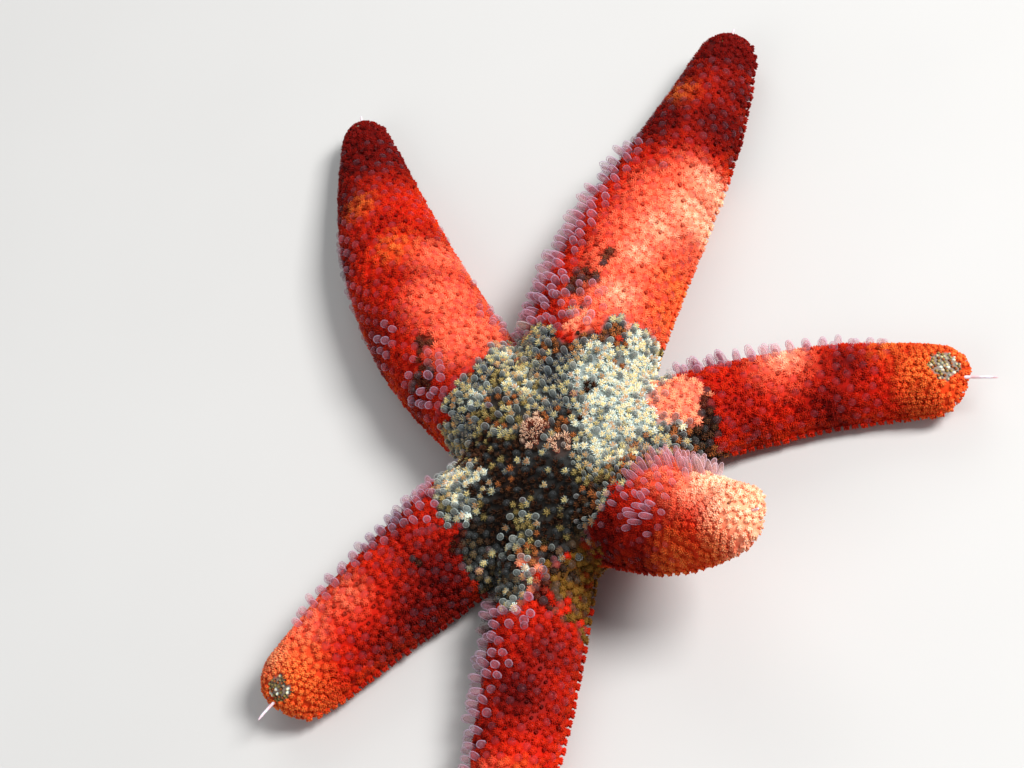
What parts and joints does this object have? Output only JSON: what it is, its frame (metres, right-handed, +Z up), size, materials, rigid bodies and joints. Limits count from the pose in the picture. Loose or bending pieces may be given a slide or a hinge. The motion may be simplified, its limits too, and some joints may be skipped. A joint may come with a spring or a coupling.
{
  "type": "six-armed sea star",
  "caption": "Life-size still model of a red-orange sea star: a domed disc, five bent arms lying on the floor and one shorter arm raised.",
  "frame": {"origin": "centre of the bounding box in plan, on the floor that the arms rest on", "axes": "+Z up from the floor, +Y away from the viewer along the two longest arms' side, +X to the viewer's right"},
  "size_m": [0.058, 0.0675, 0.0128],
  "materials": {
    "arm_skin": "wet, granular red-orange skin of small plates set with glassy spinelets, between soft translucent papulae",
    "disc_skin": "the same skin mottled cream, grey-green, blue-grey, brown and black",
    "tip_skin": "neat rounded orange granules round a bare grey-cream patch",
    "sieve_plate": "pinkish tan, finely furrowed",
    "jaws": "yellowish orange mouth plates"
  },
  "bodies": {
    "root": {"disc": "disc_skin", "madreporite": "sieve_plate", "jaws": "jaws", "arm_a_inner": "arm_skin", "arm_a_outer": "arm_skin", "arm_a_tip": "tip_skin", "arm_b_inner": "arm_skin", "arm_b_outer": "arm_skin", "arm_b_tip": "tip_skin", "arm_c_inner": "arm_skin", "arm_c_outer": "arm_skin", "arm_c_tip": "tip_skin", "arm_d_inner": "arm_skin", "arm_d_outer": "arm_skin", "arm_d_tip": "tip_skin", "arm_e_inner": "arm_skin", "arm_e_outer": "arm_skin", "arm_e_tip": "tip_skin", "arm_f_inner": "arm_skin", "arm_f_outer": "arm_skin", "arm_f_tip": "tip_skin"}
  },
  "joints": []
}
